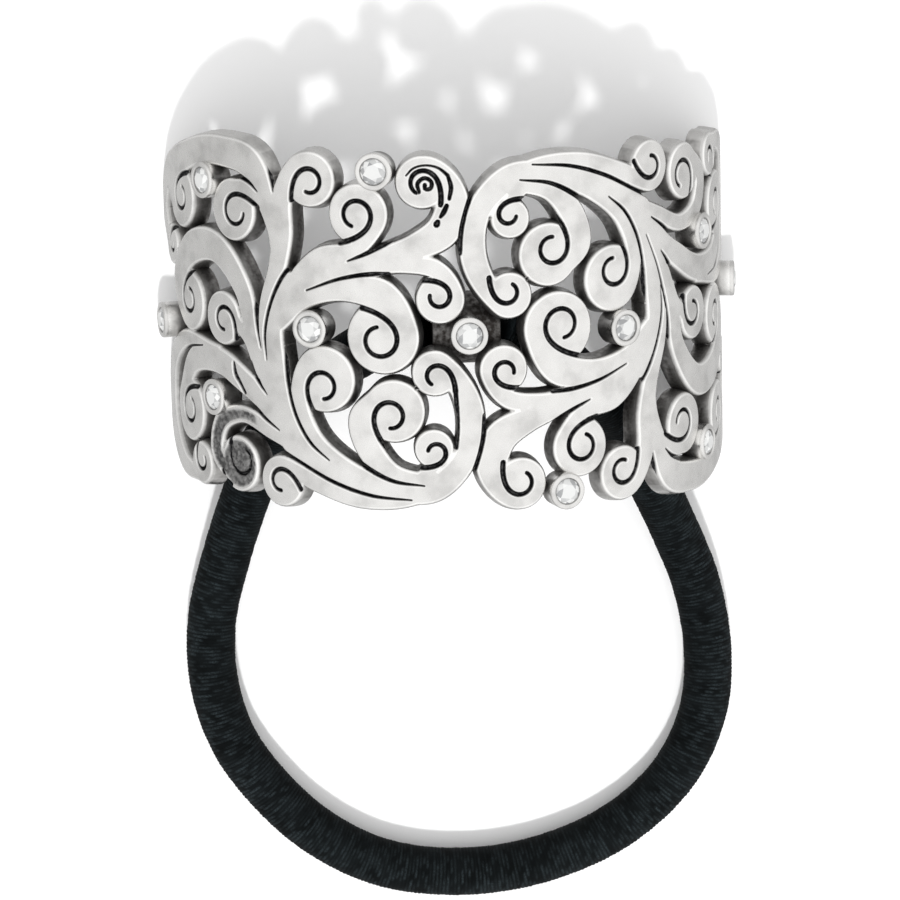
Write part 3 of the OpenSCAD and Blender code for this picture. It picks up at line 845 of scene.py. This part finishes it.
def brilliant(r):
    """Round brilliant of radius r: table, crown, girdle and pavilion, girdle at height 0."""
    crown_h, girdle_h, depth = 0.28, 0.04, 0.82 * r
    table_r, star_r, under_r = 0.56 * r, 0.78 * r, 0.42 * r
    star_z, under_z = 0.55 * crown_h, -girdle_h - 0.58 * depth
    verts = []

    def ring(radius, z, count, turn):
        first = len(verts)
        for k in range(count):
            a = math.radians(turn + 360 * k / count)
            verts.append((radius * math.cos(a), radius * math.sin(a), z))
        return first

    table = ring(table_r, crown_h, 8, 22.5)
    star = ring(star_r, star_z, 8, 0)
    top = ring(r, 0, 16, 0)
    low = ring(r, -girdle_h, 16, 0)
    under = ring(under_r, under_z, 8, 22.5)
    culet = ring(0, -girdle_h - depth, 1, 0)
    faces = [tuple(table + k for k in range(8))]
    for k in range(8):
        n = (k + 1) % 8
        b = (k - 1) % 8
        faces.append((table + b, star + k, table + k))
        faces.append((star + k, top + 2 * k, top + 2 * k + 1))
        faces.append((star + n, top + 2 * k + 1, top + (2 * k + 2) % 16))
        faces.append((table + k, star + k, top + 2 * k + 1, star + n))
        faces.append((under + k, low + 2 * k + 1, low + 2 * k))
        faces.append((under + k, low + (2 * k + 2) % 16, low + 2 * k + 1))
        faces.append((culet, under + k, low + (2 * k + 2) % 16, under + n))
    for k in range(16):
        j = (k + 1) % 16
        faces.append((top + k, low + k, low + j, top + j))
    return verts, [facing_out(verts, face) for face in faces]


def facing_out(verts, face):
    """The face of a convex stone, turned so that it looks outwards."""
    middle = Vector((0, 0, -0.2))
    a, b, c = (Vector(verts[k]) for k in face[:3])
    return face if (b - a).cross(c - a).dot(a - middle) > 0 else face[::-1]


def build_crystals(material):
    """A brilliant in each bezel, each facet with a glint of its own."""
    rng = np.random.default_rng(11)
    for i, u, v, height in crystal_places():
        verts, faces = brilliant(STONE_R)
        matrix = on_arch(u, v) @ Matrix.Translation((0, 0, height - STONE_SINK)) \
            @ Matrix.Rotation(math.radians(STONE_TURN * i), 4, "Z")
        obj = new_object(f"brilliant_{i}", [matrix @ Vector(p) for p in verts], faces, material,
                         smooth=False)
        glints = rng.uniform(0, 1, len(faces))
        glints[0] = TABLE_GLINT
        add_values(obj, "glint", glints, "FACE")
        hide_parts(f"crystal_{i}")
        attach(obj, "root")


def build_sleeve(material):
    """Tube across the inside of the crown, with softened mouths, painted as dark as an engraved line
    for the shade inside the arch.
    """
    half, soft, sides = SLEEVE_L / 2, 0.12, 64
    outline = [(SLEEVE_BORE, half - soft), (SLEEVE_BORE + soft, half), (SLEEVE_R - soft, half),
               (SLEEVE_R - soft * 0.3, half - soft * 0.3), (SLEEVE_R, half - soft)]
    outline += [(r, -z) for r, z in reversed(outline)]
    verts, faces = lathe((outline + outline[:1])[::-1], sides)
    turn = Matrix.Translation((SLEEVE_X * MM, 0, SLEEVE_Z * MM)) \
        @ Matrix.Rotation(math.pi / 2, 4, "Y") @ Matrix.Scale(MM, 4)
    obj = new_object("cuff_sleeve", [turn @ Vector(p) for p in verts], faces, material)
    # These values paint the sleeve as dark as an engraved line: painted shade
    for name, value in (("below_face", 1), ("on_wall", 1), ("line_depth", 0.19)):
        add_values(obj, name, [value] * len(verts))
    return obj


# The elastic

ROUTE_STEPS = 24
ELASTIC_SIDES = 40

# The thread is wound in ribs: the strands of a rib, the pitch of the ribs, how much of a rib they
# lean to and fro by, and the millimetres for each radian of that wave
STRANDS = ELASTIC_SIDES // 2
RIB_PITCH = 0.3
RIB_LEAN = 0.5
LEAN_WAVE = 9.0

# How far the hollows between ribs lie below the elastic's radius, how high every strand stands in
# them, and how much higher a light one does
HOLLOW_D = 0.07
STRAND_H = 0.035
LIGHT_H = 0.06

# Unevenness of the core, the run of length between its changes, and the fuzz of single points
CORE_UNEVEN = 0.008
CORE_RUN = 0.7
FUZZ = 0.008


def smooth_route(step):
    """Points an even step apart on a smooth curve through the route's points, and its length."""
    rest = ELASTIC_D / 2
    s = np.array([(x, y, rest + share * (SLEEVE_Z - rest)) for x, y, share in ROUTE])
    dense = []
    for i in range(len(s) - 1):
        length = np.linalg.norm(s[i + 1] - s[i])
        a, b = rate(s, i, 3) * length, rate(s, i + 1, 3) * length
        dense += [between(s[i], s[i + 1], a, b, t)
                  for t in np.linspace(0, 1, ROUTE_STEPS, endpoint=False)]
    dense = np.array(dense + [s[-1]])
    along = length_to(dense)
    return spaced(dense, along, int(along[-1] / step)), along[-1]


def wound_thread(count, step, length, angle):
    """Radius, and how light the strand is, with a painted sheen on its upper side, at each of count
    rings along and each angle around.
    """
    rng = np.random.default_rng(7)
    along = np.arange(count)[:, None] * step
    lean = RIB_LEAN * np.sin(along / LEAN_WAVE) + angle / (2 * np.pi)
    turns = along / RIB_PITCH + lean
    rib = np.abs(np.sin(np.pi * turns))
    strands = rng.random((int(turns.max()) + 2, STRANDS))
    turn = np.floor(turns).astype(int)
    thread = strands[turn, (np.arange(ELASTIC_SIDES) + turn) // 2 % STRANDS]
    # Strands on the upper side are lighter: a painted sheen
    top_sheen = np.clip(np.sin(angle + 0.6), 0, 1)
    thread = thread * (0.55 + 0.45 * top_sheen)
    places = np.arange(0, length + 2, CORE_RUN)
    uneven = np.interp(along[:, 0], places, rng.normal(0, CORE_UNEVEN, len(places)))[:, None]
    radius = ELASTIC_D / 2 - HOLLOW_D + rib * (STRAND_H + LIGHT_H * thread) + uneven
    radius = np.minimum(radius + rng.normal(0, FUZZ, rib.shape), ELASTIC_D / 2)
    return radius, thread * rib


def build_elastic(material):
    """Covered elastic: fine thread wound round the core in ribs, with single lighter strands and a
    painted sheen along its top.
    """
    step = RIB_PITCH / 4
    line, length = smooth_route(step)
    n, m = len(line), ELASTIC_SIDES
    ahead = np.gradient(line, axis=0)
    ahead /= np.linalg.norm(ahead, axis=1, keepdims=True)
    side = np.cross(ahead, (0, 0, 1.0))
    side /= np.linalg.norm(side, axis=1, keepdims=True)
    up = np.cross(side, ahead)
    angle = 2 * np.pi * np.arange(m) / m
    radius, thread = wound_thread(n, step, length, angle)
    around = (np.cos(angle)[None, :, None] * side[:, None, :]
              + np.sin(angle)[None, :, None] * up[:, None, :])
    verts = (line[:, None, :] + radius[..., None] * around).reshape(-1, 3) * MM
    i, k = np.meshgrid(np.arange(n - 1), np.arange(m), indexing="ij")
    j = (k + 1) % m
    quads = np.stack([i * m + k, i * m + j, (i + 1) * m + j, (i + 1) * m + k], axis=-1)
    ends = [tuple(range(m))[::-1], tuple((n - 1) * m + np.arange(m))]
    obj = new_object("elastic_cord", verts, [*quads.reshape(-1, 4), *ends], material)
    add_values(obj, "thread", thread.ravel())
    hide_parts("elastic")
    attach(obj, "root")


# Materials, with colours as red, green, blue and opacity

POLISHED = (0.79, 0.782, 0.765, 1)
CLOUDED = (0.68, 0.672, 0.657, 1)
# Brighter rims: rubbed wear, and a painted highlight
WORN_AND_HIGHLIGHT = (0.92, 0.912, 0.895, 1)
# Dark tones of the silver: patina, and past the edges and down the walls painted shade as well
FACE_OXIDE_AND_SHADE = (0.018, 0.018, 0.02, 1)
WALL_OXIDE_AND_SHADE = (0.04, 0.035, 0.032, 1)
FACETS = [(0.3, 0.305, 0.31, 1), (0.6, 0.605, 0.6, 1), (0.84, 0.845, 0.835, 1)]
BLACKS = [(0.001, 0.0018, 0.002, 1), (0.0035, 0.005, 0.0056, 1)]
# Lighter strands, and the painted sheen along the top
LIGHT_STRAND_AND_SHEEN = (0.02, 0.027, 0.03, 1)
PALE = (0.94, 0.94, 0.94, 1)


def silver_oxide_and_shade(n, below, cloud, fine):
    """How dark the silver is: patina in its lines, patina and painted shade past its edges and down
    its inner walls, and smudges.

    The pieces' own values that it goes by are in millimetres, or run from 0 to 1.
    """
    wall = n.value("on_wall")
    in_line = n.spread(n.value("line_depth"), 0.015, 0.2)
    # Darker past the face's edges: patina, and painted shade of the crevices
    edge_oxide_and_shade = n.math("MULTIPLY", n.math("SUBTRACT", 1.0, wall), n.spread(below, 0.06, 0.5))
    stipple = n.math("MULTIPLY", n.value("dark_face"), n.spread(fine, 0.36, 0.6, 0.98, 0.6))
    # Darker down the inner walls: patina, and painted shade of the recesses
    wall_oxide_and_shade = n.math("MULTIPLY", wall, n.spread(below, 0.15, 0.8, 0.45, 0.8))
    edges = n.math("MAXIMUM", edge_oxide_and_shade, wall_oxide_and_shade)
    edges = n.math("MULTIPLY", edges, n.spread(n.value("polished"), 0, 1, 1, 0.25))
    oxide_and_shade = n.math("MAXIMUM", n.math("MAXIMUM", in_line, edges), stipple)
    smudge = n.math("MULTIPLY", n.spread(cloud, 0.5, 0.75), 0.16)
    oxide_and_shade = n.math("ADD", oxide_and_shade, smudge, clamp=True)
    return n.math("MULTIPLY", oxide_and_shade, n.spread(fine, 0.3, 0.7, 0.85, 1.1), clamp=True)


def silver_material():
    """Cast silver: polished faces, brighter near their rims with wear and a painted highlight, with
    dark patina and painted shade where they end.
    """
    n = Nodes("antique_silver")
    below = n.value("below_face")
    cloud = n.noise(2.2, 3)
    fine = n.noise(0.35, 4)
    scratches = n.noise(0.09, 3, (1, 6, 1))
    oxide_and_shade = silver_oxide_and_shade(n, below, cloud, fine)
    bright = n.mix(n.spread(cloud, 0.3, 0.68), POLISHED, CLOUDED)
    # A band just inside the rims is brighter: rubbed wear, and a painted highlight
    rim_wear_and_highlight = n.math("MULTIPLY", n.spread(below, 0.004, 0.025), n.spread(below, 0.05, 0.14, 1.0, 0.0))
    bright = n.mix(rim_wear_and_highlight, bright, WORN_AND_HIGHLIGHT)
    dark_patina_and_shade = n.mix(n.value("on_wall"), FACE_OXIDE_AND_SHADE, WALL_OXIDE_AND_SHADE)
    colour = n.mix(oxide_and_shade, bright, dark_patina_and_shade)
    rough = n.math("ADD", n.spread(fine, 0.3, 0.7, 0.2, 0.32), n.math("MULTIPLY", oxide_and_shade, 0.3))
    bump = n.bump(n.math("ADD", scratches, n.math("MULTIPLY", fine, 2.0)), 0.25, 0.01)
    return n.finish(Base_Color=colour, Metallic=1.0, Roughness=rough, Normal=bump)


def crystal_material():
    """Clear stone, each facet of which sends back a light or a shade of its own."""
    n = Nodes("crystal")
    glint = n.value("glint")
    shade = n.mix(n.spread(glint, 0.05, 0.5), FACETS[0], FACETS[1])
    colour = n.mix(n.spread(glint, 0.55, 0.85), shade, FACETS[2])
    return n.finish(Base_Color=colour, Roughness=0.05, IOR=1.8, Transmission_Weight=0.2)


def elastic_material():
    """Black thread with a faint blue-green cast, matt, with single lighter strands and a painted
    sheen along its top.
    """
    n = Nodes("black_elastic")
    fibre = n.noise(0.12, 3)
    tone = n.noise(1.6, 2)
    colour = n.mix(n.spread(tone, 0.35, 0.7), *BLACKS)
    light = n.math("MULTIPLY", n.spread(n.value("thread"), 0.1, 0.9), n.spread(fibre, 0.3, 0.6))
    colour = n.mix(light, colour, LIGHT_STRAND_AND_SHEEN)
    bump = n.bump(fibre, 0.5, 0.05)
    return n.finish(Base_Color=colour, Roughness=0.7, Normal=bump, Specular_IOR_Level=0.08)


def add_floor():
    """Wide pale floor, a hair below the elastic."""
    half, drop = 2, 0.00005
    material = Nodes("floor").finish(Base_Color=PALE, Roughness=0.9, Specular_IOR_Level=0.0)
    corners = [(-half, -half, 0), (half, -half, 0), (half, half, 0), (-half, half, 0)]
    floor = new_object("floor", corners, [(0, 1, 2, 3)], material, smooth=False)
    floor.location.z = -drop
    floor.visible_glossy = False


# The scene

add_camera()
silver = silver_material()
sheet = Sheet()
for piece in (build_plate(sheet, silver), build_bezels(silver), build_sleeve(silver)):
    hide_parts("cuff")
    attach(piece, "root")
build_crystals(crystal_material())
build_elastic(elastic_material())
add_floor()
add_world()
add_key_light()
bpy.context.scene.view_settings.view_transform = "Standard"
